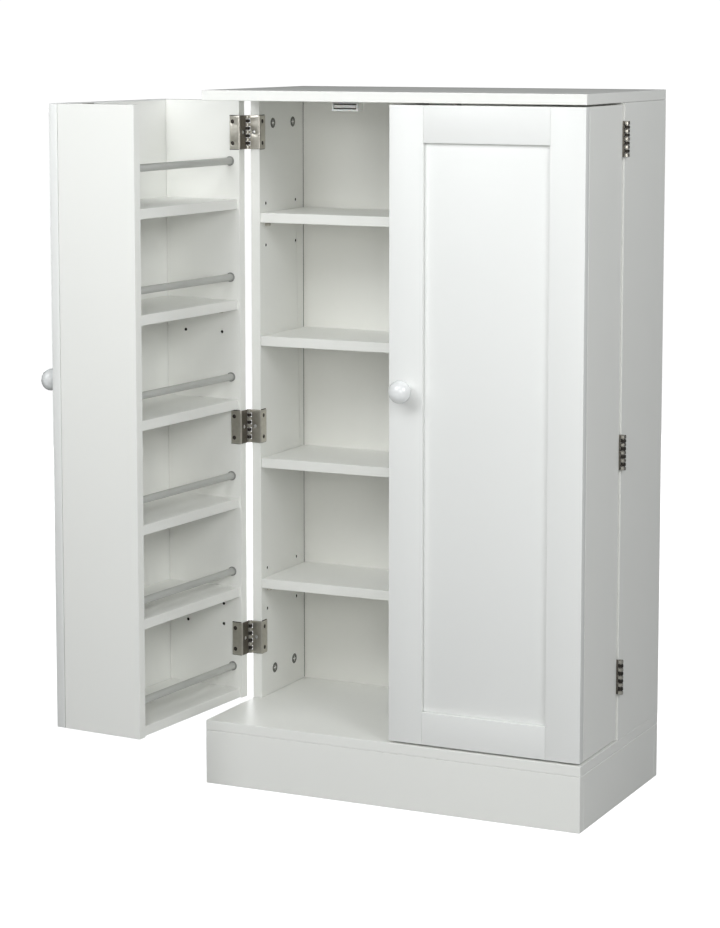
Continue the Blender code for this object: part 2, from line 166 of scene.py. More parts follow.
# Die-cast zinc: poured against a steel mould and left bare.  The eye gets a dull blue-grey with
# a frosted skin and darker flow marks.
cast_zinc, tree, shader, where = new_finish("bare_die_cast_zinc")
flow = add(tree, "TexNoise", {"Scale": 1 / 0.003, "Detail": 6.0, "Roughness": 0.7},
           {"Vector": where})
tone = add(tree, "MixRGB", {"Color1": linear("#5C5C59"), "Color2": linear("#93938F")},
           {"Fac": flow.outputs["Fac"]})
sheen = add(tree, "MapRange", {"To Min": 0.42, "To Max": 0.62}, {"Value": flow.outputs["Fac"]})
skin = add(tree, "Bump", {"Strength": 0.4, "Distance": 0.0001},
           {"Height": flow.outputs["Fac"]})
add(tree, shader, {"Metallic": 0.9}, {"Base Color": tone.outputs["Color"],
    "Roughness": sheen.outputs["Result"], "Normal": skin.outputs["Normal"]})


def facing(place, direction):
    """A matrix that stands a shape made about Z at a place, pointing in a direction."""
    turn = Vector(direction).to_track_quat("Z", "Y").to_matrix().to_4x4()
    return Matrix.Translation(place) @ turn


def cross_head(radius, crown, arm, slit, depth, sink, foot):
    """A round head about Z with a cross pressed in: flat rim at 0, crown over it, foot under."""
    head = bmesh.new()

    def ring(size, height):
        turns = [math.radians(15.0 * i - 22.5) for i in range(24)]
        return [head.verts.new((size * math.cos(t), size * math.sin(t), height)) for t in turns]

    def cross(scale, height):
        a, b = arm * scale, slit * scale
        corners = [(a, -b), (a, b), (b, b), (b, a), (-b, a), (-b, b),
                   (-a, b), (-a, -b), (-b, -b), (-b, -a), (b, -a), (b, -b)]
        return [head.verts.new((x, y, height)) for x, y in corners]

    rings = [ring(foot, -sink), ring(radius, -0.15 * crown), ring(0.97 * radius, 0.3 * crown),
             ring(0.72 * radius, 0.8 * crown)]
    for low, high in zip(rings, rings[1:]):
        for i in range(24):
            j = (i + 1) % 24
            head.faces.new((low[i], low[j], high[j], high[i]))
    head.faces.new(rings[0][::-1])
    mouth, floor = cross(1.0, crown), cross(0.7, crown - depth)
    top = rings[-1]
    for k in range(12):
        n = (k + 1) % 12
        head.faces.new((mouth[k], top[2 * k], top[2 * k + 1]))
        head.faces.new((mouth[k], top[2 * k + 1], top[(2 * k + 2) % 24], mouth[n]))
        head.faces.new((mouth[n], floor[n], floor[k], mouth[k]))
    head.faces.new(floor)
    return head


def gather(parts):
    """One shape out of several, each given with the matrix that puts it in place."""
    whole = bmesh.new()
    for shape, matrix in parts:
        shape.transform(matrix)
        mesh = bpy.data.meshes.new("part")
        shape.to_mesh(mesh)
        shape.free()
        whole.from_mesh(mesh)
        bpy.data.meshes.remove(mesh)
    return whole


def place(name, shape, body, slot, finishes, stands_for=(), turn=None, grain=False):
    """Make a named piece of a shape, turn it into its place and let it ride on its body.

    With grain, the piece keeps its own axes, so that a finish with a direction follows it."""
    if turn is not None and not grain:
        shape.transform(turn)
    bmesh.ops.recalc_face_normals(shape, faces=shape.faces)
    mesh = bpy.data.meshes.new(name)
    shape.to_mesh(mesh)
    shape.free()
    for finish in finishes:
        mesh.materials.append(finish)
    mesh.shade_smooth()
    mesh.set_sharp_from_angle(angle=SMOOTH_UNDER)
    piece = bpy.data.objects.new(name, mesh)
    bpy.context.scene.collection.objects.link(piece)
    if turn is not None and grain:
        piece.matrix_world = turn
    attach(piece, body)
    if stands_for:
        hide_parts(*stands_for)
    return piece


def inner_faces():
    """Each side panel's word, which way is inward, its box, and where its inner face is in X."""
    for word, inward in (("left", 1), ("right", -1)):
        low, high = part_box("side_panel_" + word)
        yield word, inward, low, high, high.x if inward > 0 else low.x


def spots(inner_x, inward, front_y, behind_front, heights):
    """Matrices for shapes on an inner face, at each height and each way back from the front."""
    return [facing((inner_x, front_y + back, z), (inward, 0, 0))
            for z in heights for back in behind_front]


for word, inward, low, high, inner_x in inner_faces():
    cam_heights = (low.z + CAM_FROM_END, high.z - CAM_FROM_END)
    cams = [(cross_head(CAM_RADIUS, crown=0.0004, arm=0.0042, slit=0.0012, depth=0.0024,
                        sink=0.002, foot=CAM_RADIUS), spot)
            for spot in spots(inner_x, inward, low.y, CAM_BEHIND_FRONT, cam_heights)]
    place("cam_locks_" + word, gather(cams), "cabinet", "hinge_steel", [cast_zinc])


# ---- Back panel -------------------------------------------------------------------------------
# A thin fibreboard that slides in grooves all round and keeps the carcass square.  It is printed
# white, without melamine, so it is a shade duller than the boards round it.

PANEL_EASING = 0.0002                   # sawn edges, only brushed

# Printed fibreboard: primer and ink rolled on to hot-pressed fibres.  The eye gets a flat, warm
# white with faint cloudy patches and the fine fibre swelling through, drawn 1.5 mm across.
fibreboard, tree, shader, where = new_finish("white_printed_fibreboard")
cloud = add(tree, "TexNoise", {"Scale": 1 / 0.07, "Detail": 5.0, "Roughness": 0.6},
            {"Vector": where})
tone = add(tree, "MixRGB", {"Color1": linear("#F8F8F3"), "Color2": linear("#F4F4EF")},
           {"Fac": cloud.outputs["Fac"]})
fibre = add(tree, "TexNoise", {"Scale": 1 / 0.0015, "Detail": 2.0}, {"Vector": where})
sheen = add(tree, "MapRange", {"To Min": 0.55, "To Max": 0.68}, {"Value": cloud.outputs["Fac"]})
skin = add(tree, "Bump", {"Strength": 0.3, "Distance": 0.00006},
           {"Height": fibre.outputs["Fac"]})
add(tree, shader, {"IOR": 1.48}, {"Base Color": tone.outputs["Color"],
    "Roughness": sheen.outputs["Result"], "Normal": skin.outputs["Normal"]})

ease_board("back_panel", PANEL_EASING, face=fibreboard, lip=fibreboard)


# ---- Cabinet shelves and their pins -----------------------------------------------------------
# Four shelves of the same board.  The lowest and the highest lie on steel pins pushed into
# the drilled rows, two at each end; the other two are fixed from outside through the sides.

SHELF_PIN_DROP = 0.0035                 # from a shelf's underside to its pins' middle
SHELF_PIN_BEHIND_FRONT = (0.0205, 0.1205)
SHELF_PIN_PROFILE = ((0.0, -0.0068), (0.0021, -0.0068), (0.0022, -0.0062), (0.0022, -0.0001),
                     (0.0034, 0.0001), (0.0034, 0.0012), (0.0032, 0.0014), (0.0027, 0.0016),
                     (0.0027, 0.0062), (0.0024, 0.0068), (0.0, 0.0070))
PIN_STEPS = 20                          # facets round a pin or its hole

for number in (1, 2, 3, 4):
    ease_board(f"shelf_{number}")

# Nickel-plated steel: turned or stamped, then barrel-plated.  The eye gets a warm grey metal,
# softly clouded, with a grain of tiny tumbling marks that breaks up its reflections.  The marks
# are 0.2 to 0.5 mm on the real thing and are drawn 0.9 mm long.
nickel, tree, shader, where = new_finish("barrel_plated_nickel")
cloud = add(tree, "TexNoise", {"Scale": 1 / 0.006, "Detail": 4.0, "Roughness": 0.6},
            {"Vector": where})
tone = add(tree, "MixRGB", {"Color1": linear("#B9B5AC"), "Color2": linear("#DAD6CD")},
           {"Fac": cloud.outputs["Fac"]})
marks = add(tree, "TexNoise", {"Scale": 1 / 0.0009, "Detail": 3.0, "Roughness": 0.7},
            {"Vector": where})
sheen = add(tree, "MapRange", {"To Min": 0.24, "To Max": 0.44}, {"Value": marks.outputs["Fac"]})
skin = add(tree, "Bump", {"Strength": 0.35, "Distance": 0.00008},
           {"Height": marks.outputs["Fac"]})
add(tree, shader, {"Metallic": 1.0}, {"Base Color": tone.outputs["Color"],
    "Roughness": sheen.outputs["Result"], "Normal": skin.outputs["Normal"]})

# Sheared steel: the edge that a punch leaves, torn and barely reached by the plating.  It is drawn
# darker still as painted shade: round the leaves' rims for their contact shadow, and on the
# knuckles for the shade between them.  The eye gets a dark, rough line round every stamped piece.
sheared_and_shade, tree, shader, where = new_finish("steel_edge_painted_shade")
tears = add(tree, "TexNoise", {"Scale": 1 / 0.0008, "Detail": 4.0, "Roughness": 0.7},
            {"Vector": where})
tone = add(tree, "MixRGB", {"Color1": linear("#2A2724"), "Color2": linear("#4C4843")},
           {"Fac": tears.outputs["Fac"]})
sheen = add(tree, "MapRange", {"To Min": 0.50, "To Max": 0.70}, {"Value": tears.outputs["Fac"]})
add(tree, shader, {"Metallic": 0.8}, {"Base Color": tone.outputs["Color"],
    "Roughness": sheen.outputs["Result"]})


def turned(profile, steps=32):
    """A shape turned about Z from (radius, height) pairs; with no zero radius it is a ring."""
    shape = bmesh.new()
    rings = []
    for radius, height in profile:
        count = steps if radius else 1
        turns = [2 * math.pi * i / count for i in range(count)]
        rings.append([shape.verts.new((radius * math.cos(t), radius * math.sin(t), height))
                      for t in turns])
    pairs = list(zip(rings, rings[1:]))
    if profile[0][0] and profile[-1][0]:
        pairs.append((rings[-1], rings[0]))
    for low, high in pairs:
        for i in range(steps):
            j = (i + 1) % steps
            corners = (low[i % len(low)], low[j % len(low)],
                       high[j % len(high)], high[i % len(high)])
            shape.faces.new(list(dict.fromkeys(corners)))
    return shape


pin_heights = [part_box(shelf)[0].z - SHELF_PIN_DROP for shelf in ("shelf_1", "shelf_4")]
for word, inward, low, high, inner_x in inner_faces():
    pins = [(turned(SHELF_PIN_PROFILE, PIN_STEPS), spot)
            for spot in spots(inner_x, inward, low.y, SHELF_PIN_BEHIND_FRONT, pin_heights)]
    place("shelf_pins_" + word, gather(pins), "cabinet", "hinge_steel", [nickel])


# ---- Bores and painted groove shadows of the carcass ------------------------------------------
# Where the facing is cut through, raw particle board shows: in the spare pin holes, a pitch above
# and below each movable shelf's pins, round the cams, and along the sawn grooves of the sides.
# All of it is drawn darker than the board as painted shade, and the rings round the cams and the
# strip in front of each groove are painted shadow laid on the facing.

HOLE_PITCH = 0.032
HOLE_PROFILE = ((0.0, -0.0085), (0.0023, -0.0085), (0.0023, -0.0004), (0.0021, -0.0005),
                (0.0020, -0.0079), (0.0, -0.0080))
# CAM_GAP_PROFILE is a thin dark ring just off the face round each cam: painted shadow of the gap
# between cam and bore.
CAM_GAP_PROFILE = ((CAM_RADIUS, -0.0010), (CAM_RADIUS + 0.0006, -0.0010),
                   (CAM_RADIUS + 0.0006, 0.0000), (CAM_RADIUS + 0.0004, 0.00006),
                   (CAM_RADIUS, 0.00006))
GROOVE_SHADOW_WIDTH = 0.0013              # of the dark strip of painted shadow in front of the groove
GROOVE_SHADOW_STAND = 0.00008             # how far it stands off the facing, so that it shows
GROOVE_SHADOW_DEEP = 0.001                # how far it goes in, and stops short of the side's ends

# Raw particle board: chips and glue, cut by a drill or a saw, and drawn far darker than the board
# really is as painted shade, for hole insides and for the shadow lines and rims laid on the facing.
# The eye gets a dark, rough brown with paler chips.  Chips are drawn 1.2 mm across.
raw_board_and_shade, tree, shader, where = new_finish("cut_particle_board_painted_shade")
chips = add(tree, "TexVoronoi", {"Scale": 1 / 0.0012}, {"Vector": where})
tone = add(tree, "MixRGB", {"Color1": linear("#17130F"), "Color2": linear("#352E26")},
           {"Fac": chips.outputs["Distance"]})
sheen = add(tree, "MapRange", {"To Min": 0.80, "To Max": 0.95},
            {"Value": chips.outputs["Distance"]})
skin = add(tree, "Bump", {"Strength": 0.5, "Distance": 0.0002},
           {"Height": chips.outputs["Distance"]})
add(tree, shader, {"IOR": 1.45}, {"Base Color": tone.outputs["Color"],
    "Roughness": sheen.outputs["Result"], "Normal": skin.outputs["Normal"]})


def slab(low, high, radius, segments=2):
    """A box between two corners with its edges eased."""
    shape = bmesh.new()
    size = Vector(high) - Vector(low)
    middle = (Vector(high) + Vector(low)) / 2
    bmesh.ops.create_cube(shape, size=1.0,
                          matrix=Matrix.Translation(middle) @ Matrix.Diagonal((*size, 1.0)))
    bmesh.ops.bevel(shape, geom=shape.edges[:], offset=radius, segments=segments,
                    profile=0.5, affect="EDGES")
    return shape


# The hole linings, the rings round the cams and the strip in front of the back panel all take the
# raw-board finish, dark as painted shade and painted shadow.
hole_heights = [z + step for z in pin_heights for step in (-HOLE_PITCH, HOLE_PITCH)]
for word, inward, low, high, inner_x in inner_faces():
    bores = [(turned(HOLE_PROFILE, PIN_STEPS), spot)
             for spot in spots(inner_x, inward, low.y, SHELF_PIN_BEHIND_FRONT, hole_heights)]
    cam_heights = (low.z + CAM_FROM_END, high.z - CAM_FROM_END)
    bores += [(turned(CAM_GAP_PROFILE), spot)
              for spot in spots(inner_x, inward, low.y, CAM_BEHIND_FRONT, cam_heights)]
    back_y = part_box("back_panel")[0].y
    strip_x = sorted((inner_x - inward * GROOVE_SHADOW_DEEP, inner_x + inward * GROOVE_SHADOW_STAND))
    strip = slab((strip_x[0], back_y - GROOVE_SHADOW_WIDTH, low.z + GROOVE_SHADOW_DEEP),
                 (strip_x[1], back_y - 0.0001, high.z - GROOVE_SHADOW_DEEP), 0.00003)
    bores.append((strip, Matrix.Identity(4)))
    place("bores_and_painted_shade_" + word, gather(bores), "cabinet", "white_board", [raw_board_and_shade])


# ---- Magnetic catches -------------------------------------------------------------------------
# A white moulded case screwed up under the top, with a magnet between two steel pole plates
# that look out of its front.  One for each door, a finger's width behind the closed front.

CATCH_FRAME = 0.0022                    # the case's wall round its front pocket
CATCH_POCKET = 0.0030                   # its depth
CATCH_EASING = 0.0006
POLE_THICKNESS = 0.0012
POLE_CLEAR = 0.0006                     # from the case's wall to a pole plate
POLE_EASING = 0.0002
MAGNET_EASING = 0.0004

# Injection-moulded ABS: white plastic with a fine spark-eroded grain.  The eye gets a smooth
# satin, slightly translucent white; the grain is drawn 1 mm across.
abs_white, tree, shader, where = new_finish("moulded_white_abs")
flow = add(tree, "TexNoise", {"Scale": 1 / 0.02, "Detail": 2.0}, {"Vector": where})
tone = add(tree, "MixRGB", {"Color1": linear("#E9E9E6"), "Color2": linear("#E2E2DF")},
           {"Fac": flow.outputs["Fac"]})
grain = add(tree, "TexNoise", {"Scale": 1 / 0.001, "Detail": 1.0}, {"Vector": where})
sheen = add(tree, "MapRange", {"To Min": 0.34, "To Max": 0.46}, {"Value": grain.outputs["Fac"]})
skin = add(tree, "Bump", {"Strength": 0.2, "Distance": 0.00004},
           {"Height": grain.outputs["Fac"]})
add(tree, shader, {"IOR": 1.53, "Subsurface Weight": 0.08, "Subsurface Scale": 0.002},
    {"Base Color": tone.outputs["Color"], "Roughness": sheen.outputs["Result"],
     "Normal": skin.outputs["Normal"]})


def catch_case(low, high):
    """The case: a rounded block with a pocket sunk in its front, which faces -Y."""
    case = bmesh.new()
    size, middle = high - low, (high + low) / 2
    bmesh.ops.create_cube(case, size=1.0,
                          matrix=Matrix.Translation(middle) @ Matrix.Diagonal((*size, 1.0)))
    bmesh.ops.recalc_face_normals(case, faces=case.faces)
    front = [min(case.faces, key=lambda face: face.calc_center_median().y)]
    bmesh.ops.inset_region(case, faces=front, thickness=CATCH_FRAME, use_even_offset=True)
    sunk = bmesh.ops.extrude_discrete_faces(case, faces=front)["faces"][0]
    bmesh.ops.translate(case, verts=sunk.verts, vec=(0.0, CATCH_POCKET, 0.0))
    bmesh.ops.recalc_face_normals(case, faces=case.faces)
    bmesh.ops.bevel(case, geom=case.edges[:], offset=CATCH_EASING, segments=2, affect="EDGES",
                    clamp_overlap=True)
    return case


for word in ("left", "right"):
    low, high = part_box("magnetic_catch_" + word)
    node = "magnetic_catch_" + word
    place("catch_case_" + word, catch_case(low, high), "cabinet", "magnetic_catch", [abs_white],
          stands_for=[node])
    inset, seat_y = CATCH_FRAME + 0.0012, low.y + CATCH_POCKET + 0.002
    plates = []
    for z in (low.z + CATCH_FRAME + POLE_CLEAR,
              high.z - CATCH_FRAME - POLE_CLEAR - POLE_THICKNESS):
        plates.append((slab((low.x + inset, low.y - 0.0006, z),
                            (high.x - inset, seat_y, z + POLE_THICKNESS), POLE_EASING),
                       Matrix.Identity(4)))
    place("catch_pole_plates_" + word, gather(plates), "cabinet", "magnetic_catch", [sheared_and_shade],
          stands_for=[node])
    spare = CATCH_FRAME + POLE_CLEAR + POLE_THICKNESS + 0.0003
    magnet = slab((low.x + inset + 0.001, low.y + 0.0008, low.z + spare),
                  (high.x - inset - 0.001, seat_y, high.z - spare), MAGNET_EASING)
    place("catch_magnet_" + word, magnet, "cabinet", "magnetic_catch", [abs_white],
          stands_for=[node])


# ---- Door fronts ------------------------------------------------------------------------------
# Each front is two full-height stiles, two rails between them and a thinner field sunk between
# those, of smooth fibreboard sprayed white and glued on a thin melamine-faced sheet.  The sheet
# stops short of the outer edges, which leaves the shadow line where the box begins.

STILE_WIDTH = 0.0525
TOP_RAIL_WIDTH = 0.053
BOTTOM_RAIL_WIDTH = 0.048
FIELD_SINK = 0.006
GLUE_LINE = 0.0001                      # half of the hairline where two pieces meet
BACKING = 0.0010                        # thickness of the sheet
BACKING_SHORT = 0.0018                  # from the front's outer edge to the sheet's
FRONT_EASING = 0.0005
BACKING_EASING = 0.0003

# Satin lacquer: sprayed in two coats over sanded fibreboard.  The eye gets a clean white, more
# even and a touch glossier than the melamine, over the faint orange peel that spraying leaves.
# The peel is about 1 mm across and is drawn 3 mm across.
LACQUER_PEEL = 0.003
lacquer, tree, shader, where = new_finish("sprayed_satin_lacquer")
coat = add(tree, "TexNoise", {"Scale": 1 / 0.22, "Detail": 2.0}, {"Vector": where})
tone = add(tree, "MixRGB", {"Color1": linear("#F1F2F0"), "Color2": linear("#EFF0EE")},
           {"Fac": coat.outputs["Fac"]})
rubbed = add(tree, "TexNoise", {"Scale": 1 / 0.06, "Detail": 4.0}, {"Vector": where})
sheen = add(tree, "MapRange", {"To Min": 0.32, "To Max": 0.44},
            {"Value": rubbed.outputs["Fac"]})
peel = add(tree, "TexNoise", {"Scale": 1 / LACQUER_PEEL, "Detail": 1.0}, {"Vector": where})
skin = add(tree, "Bump", {"Strength": 0.25, "Distance": 0.00005},
           {"Height": peel.outputs["Fac"]})
add(tree, shader, {"IOR": 1.5}, {"Base Color": tone.outputs["Color"],
    "Roughness": sheen.outputs["Result"], "Normal": skin.outputs["Normal"]})

# The left door is the right one's mirror image, and stands open by what its joint says.
left_hinge = next(j for j in frame["joints"] if j["name"] == "left_door_hinge")
pivot = Matrix.Translation(left_hinge["pos_m"])
opening = Matrix.Rotation(math.radians(left_hinge["range_deg"][0]), 4, "Z")
left_door_turn = pivot @ opening @ pivot.inverted()


def mirrored(shape):
    """A shape's mirror image across the cabinet's middle."""
    shape.transform(Matrix.Diagonal((-1.0, 1.0, 1.0, 1.0)))
    bmesh.ops.reverse_faces(shape, faces=shape.faces)
    return shape


def on_both_doors(name, make, slot, finishes, nodes=(), grain=False):
    """A piece on each door: make gives its shape on the closed right door."""
    place("right_" + name, make(), "right_door", slot, finishes,
          ["right_" + node for node in nodes])
    place("left_" + name, mirrored(make()), "left_door", slot, finishes,
          ["left_" + node for node in nodes], left_door_turn, grain)


low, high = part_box("right_door_front")
rail_x = (low.x + STILE_WIDTH + GLUE_LINE, high.x - STILE_WIDTH - GLUE_LINE)
field_z = (low.z + BOTTOM_RAIL_WIDTH + GLUE_LINE, high.z - TOP_RAIL_WIDTH - GLUE_LINE)
back_y, short = high.y - BACKING - GLUE_LINE, BACKING_SHORT
front_pieces = {
    "door_free_stile": ((low.x, low.y, low.z), (low.x + STILE_WIDTH - GLUE_LINE, back_y, high.z)),
    "door_hinge_stile": ((high.x - STILE_WIDTH + GLUE_LINE, low.y, low.z),
                         (high.x, back_y, high.z)),
    "door_top_rail": ((rail_x[0], low.y, high.z - TOP_RAIL_WIDTH + GLUE_LINE),
                      (rail_x[1], back_y, high.z)),
    "door_bottom_rail": ((rail_x[0], low.y, low.z),
                         (rail_x[1], back_y, low.z + BOTTOM_RAIL_WIDTH - GLUE_LINE)),
    "door_field": ((rail_x[0], low.y + FIELD_SINK, field_z[0]), (rail_x[1], back_y, field_z[1])),
    "door_backing_sheet": ((low.x + short, back_y + GLUE_LINE, low.z + short),
                           (high.x - short, high.y, high.z - short)),
}
for name, (corner, far_corner) in front_pieces.items():
    easing, finish = FRONT_EASING, lacquer
    if name == "door_backing_sheet":
        easing, finish = BACKING_EASING, melamine
    on_both_doors(name, lambda: slab(corner, far_corner, easing, segments=3),
                  "white_board", [finish], ["door_front"])


# ---- Door boxes -------------------------------------------------------------------------------
# Behind each front, a side board at the hinge and one at the free edge with six shelves between
# them, all of the carcass's melamine-faced board.  The fifth shelf lies on pins in drilled
# holes and the others are dowelled and glued.

for side in ("left", "right"):
    for name in ("hinge_side", "free_side"):
        ease_board(f"{side}_door_{name}", SIDE_EASING)
    for number in range(1, 7):
        ease_board(f"{side}_door_shelf_{number}")


# ---- Door shelf pins and spare holes ----------------------------------------------------------
# The fifth shelf's four pins are the same turned steel pegs as in the carcass.  Spare holes, raw
# inside and drawn dark as painted shade, wait a pitch below them and in two rows under the second
# shelf.

DOOR_PIN_FROM_REAR = (0.033, 0.099)     # from the door's rear edge
SPARE_ROW_DROP = 0.0135                 # from the second shelf's underside to its first row


def in_door_sides(profile, heights):
    """A turned shape at each column of both side boards' inner faces, at several heights."""
    free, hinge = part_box("right_door_free_side"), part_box("right_door_hinge_side")
    return gather([(turned(profile, PIN_STEPS), facing((x, free[1].y - back, z), (inward, 0, 0)))
                   for x, inward in ((free[1].x, 1), (hinge[0].x, -1))
                   for back in DOOR_PIN_FROM_REAR for z in heights])


pins_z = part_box("right_door_shelf_5")[0].z - SHELF_PIN_DROP
spare_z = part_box("right_door_shelf_2")[0].z - SPARE_ROW_DROP
on_both_doors("door_pins_shelf_5", lambda: in_door_sides(SHELF_PIN_PROFILE, [pins_z]),
              "hinge_steel", [nickel])
spare_rows = [pins_z - HOLE_PITCH, spare_z, spare_z - HOLE_PITCH]
# The spare holes' linings take the raw-board finish, dark as painted shade.
on_both_doors("door_bores_painted_shade", lambda: in_door_sides(HOLE_PROFILE, spare_rows),
              "white_board", [raw_board_and_shade])


# ---- Guard rods and their sockets -------------------------------------------------------------
# A drawn aluminium tube over each door shelf keeps jars from falling out.  Its ends sit in
# shallow ring sockets of grey plastic, pressed into the door's side boards.

SOCKET_RIM = 0.0015                     # width of the ring round the rod
SOCKET_STAND = 0.0022                   # how far it stands off the board
ROD_STEPS = 40

# Drawn aluminium: pulled through a die and satin anodised.  The eye gets an even mid grey with
# faint lines along the tube and no sharp reflections.  Lines are drawn 0.6 mm apart.
aluminium, tree, shader, where = new_finish("satin_anodised_aluminium")
stretched = add(tree, "Mapping", {"Scale": (1.0, 60.0, 60.0)}, {"Vector": where})
lines = add(tree, "TexNoise", {"Scale": 1 / 0.036, "Detail": 4.0, "Roughness": 0.6},
            {"Vector": stretched.outputs["Vector"]})
tone = add(tree, "MixRGB", {"Color1": linear("#C1C2BF"), "Color2": linear("#CFD0CC")},
           {"Fac": lines.outputs["Fac"]})
sheen = add(tree, "MapRange", {"To Min": 0.42, "To Max": 0.56}, {"Value": lines.outputs["Fac"]})
skin = add(tree, "Bump", {"Strength": 0.2, "Distance": 0.00003},
           {"Height": lines.outputs["Fac"]})
add(tree, shader, {"Metallic": 0.25}, {"Base Color": tone.outputs["Color"],
    "Roughness": sheen.outputs["Result"], "Normal": skin.outputs["Normal"]})

# Socket plastic: grey polypropylene, moulded smooth.  The eye gets a thin, waxy, darker ring.
socket_plastic, tree, shader, where = new_finish("grey_moulded_polypropylene")
flow = add(tree, "TexNoise", {"Scale": 1 / 0.004, "Detail": 3.0}, {"Vector": where})
tone = add(tree, "MixRGB", {"Color1": linear("#8F908D"), "Color2": linear("#A3A4A0")},
           {"Fac": flow.outputs["Fac"]})
sheen = add(tree, "MapRange", {"To Min": 0.25, "To Max": 0.38}, {"Value": flow.outputs["Fac"]})
add(tree, shader, {"IOR": 1.49}, {"Base Color": tone.outputs["Color"],
    "Roughness": sheen.outputs["Result"]})


def guard_rod(node):
    """The rod, turned with slightly rounded ends, lying along X where its CAD solid is."""
    low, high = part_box(node)
    middle, radius, length = (low + high) / 2, (high.z - low.z) / 2, high.x - low.x
    profile = ((0.0, 0.0), (radius - 0.0008, 0.0), (radius - 0.0002, 0.0003), (radius, 0.0009),
               (radius, length / 2), (radius, length - 0.0009), (radius - 0.0002, length - 0.0003),
               (radius - 0.0008, length), (0.0, length))
    return gather([(turned(profile, ROD_STEPS), facing((low.x, middle.y, middle.z), (1, 0, 0)))])


def rod_sockets(node):
    """Two rings round the rod's ends, each with a rounded rim."""
    low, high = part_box(node)
    middle, bore = (low + high) / 2, (high.z - low.z) / 2 + 0.0002
    outer, stand = bore + SOCKET_RIM, SOCKET_STAND
    profile = ((bore, 0.0), (outer, 0.0), (outer, stand - 0.0009), (outer - 0.0003, stand - 0.0003),
               (outer - 0.0009, stand), (bore + 0.0004, stand), (bore, stand - 0.0004))
    return gather([(turned(profile, ROD_STEPS), facing((x, middle.y, middle.z), (inward, 0, 0)))
                   for x, inward in ((low.x, 1), (high.x, -1))])


for number in range(1, 7):
    node = f"right_door_rod_{number}"
    on_both_doors(f"guard_rod_{number}", lambda: guard_rod(node), "guard_rod", [aluminium],
                  [f"door_rod_{number}"], grain=True)
    on_both_doors(f"rod_sockets_{number}", lambda: rod_sockets(node), "guard_rod",
                  [socket_plastic])


# ---- Knobs ------------------------------------------------------------------------------------
# A turned ball on a short neck with a flat foot, screwed on from behind the front's free stile.
# Hardwood, sealed and sprayed with gloss enamel.

FOOT_RADIUS = 0.0090
NECK_RADIUS = 0.0065
BALL_RADIUS = 0.0165
BALL_DEPTH = 0.82                       # the ball's depth as a share of its width
COVE_STEPS = 4                          # down the hollow between foot and neck
BALL_STEPS = 26                         # from neck to nose

# Gloss enamel: thick and levelled on turned wood.  The eye gets a bright, wet white with
# clear lights in it, very slightly waved by the turning marks underneath.
enamel, tree, shader, where = new_finish("white_gloss_enamel")
pooling = add(tree, "TexNoise", {"Scale": 1 / 0.012, "Detail": 2.0}, {"Vector": where})
tone = add(tree, "MixRGB", {"Color1": linear("#F0F2F2"), "Color2": linear("#EBEDED")},
           {"Fac": pooling.outputs["Fac"]})
sheen = add(tree, "MapRange", {"To Min": 0.12, "To Max": 0.22},
            {"Value": pooling.outputs["Fac"]})
skin = add(tree, "Bump", {"Strength": 0.15, "Distance": 0.0001},
           {"Height": pooling.outputs["Fac"]})
add(tree, shader, {"IOR": 1.5, "Coat Weight": 0.4, "Coat Roughness": 0.06},
    {"Base Color": tone.outputs["Color"], "Roughness": sheen.outputs["Result"],
     "Normal": skin.outputs["Normal"]})


def knob():
    """The knob standing on the front, its foot at the face and its ball towards -Y."""
    low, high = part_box("right_door_knob")
    length = high.y - low.y
    depth = BALL_RADIUS * BALL_DEPTH
    profile = [(0.0, 0.0), (FOOT_RADIUS - 0.0003, 0.0), (FOOT_RADIUS, 0.0004),
               (FOOT_RADIUS, 0.0014), (FOOT_RADIUS - 0.0004, 0.0019)]
    for i in range(COVE_STEPS + 1):
        turn = math.pi / 2 * i / COVE_STEPS
        profile.append((FOOT_RADIUS - 0.0006 - 0.0019 * math.sin(turn),
                        0.0021 + 0.0016 * (1 - math.cos(turn))))
    start = math.asin(NECK_RADIUS / BALL_RADIUS)
    for i in range(BALL_STEPS + 1):
        turn = start + (math.pi - start) * i / BALL_STEPS
        profile.append((BALL_RADIUS * math.sin(turn) if i < BALL_STEPS else 0.0,
                        length - depth - depth * math.cos(turn)))
    middle = (low + high) / 2
    return gather([(turned(profile, 64), facing((middle.x, high.y, middle.z), (0, -1, 0)))])


on_both_doors("knob", knob, "knob", [enamel], ["door_knob"])


# ---- Striker plates ---------------------------------------------------------------------------
# A thin plate of nickel-plated steel high up behind each front, held by one cross-head screw.
# The catch's pole plates and magnet pull on it when the door shuts.

STRIKER_WIDTH, STRIKER_HEIGHT = 0.030, 0.0145
STRIKER_METAL = 0.0011
STRIKER_EASING = 0.0004
STRIKER_UNDER_TOP = 0.001               # at least this far under the front's upper edge
STRIKER_GAP = 0.0001                    # between the plate and the sheet behind it


def striker_plate():
    """The plate and its screw on the front's back, level with the catch."""
    catch_low, catch_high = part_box("magnetic_catch_right")
    middle, back_y = (catch_low + catch_high) / 2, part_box("right_door_front")[1].y
    wide, tall = STRIKER_WIDTH / 2, STRIKER_HEIGHT / 2
    top = min(middle.z + tall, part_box("right_door_front")[1].z - STRIKER_UNDER_TOP)
    plate = slab((middle.x - wide, back_y + STRIKER_GAP, top - 2 * tall),
                 (middle.x + wide, back_y + STRIKER_GAP + STRIKER_METAL, top), STRIKER_EASING)
    head = cross_head(0.0028, crown=0.0006, arm=0.0016, slit=0.0003, depth=0.0009, sink=0.0006,
                      foot=0.0020)
    spot = (middle.x, back_y + STRIKER_METAL, top - tall)
    return gather([(plate, Matrix.Identity(4)), (head, facing(spot, (0, 1, 0)))])


on_both_doors("door_striker_plate", striker_plate, "magnetic_catch", [nickel])
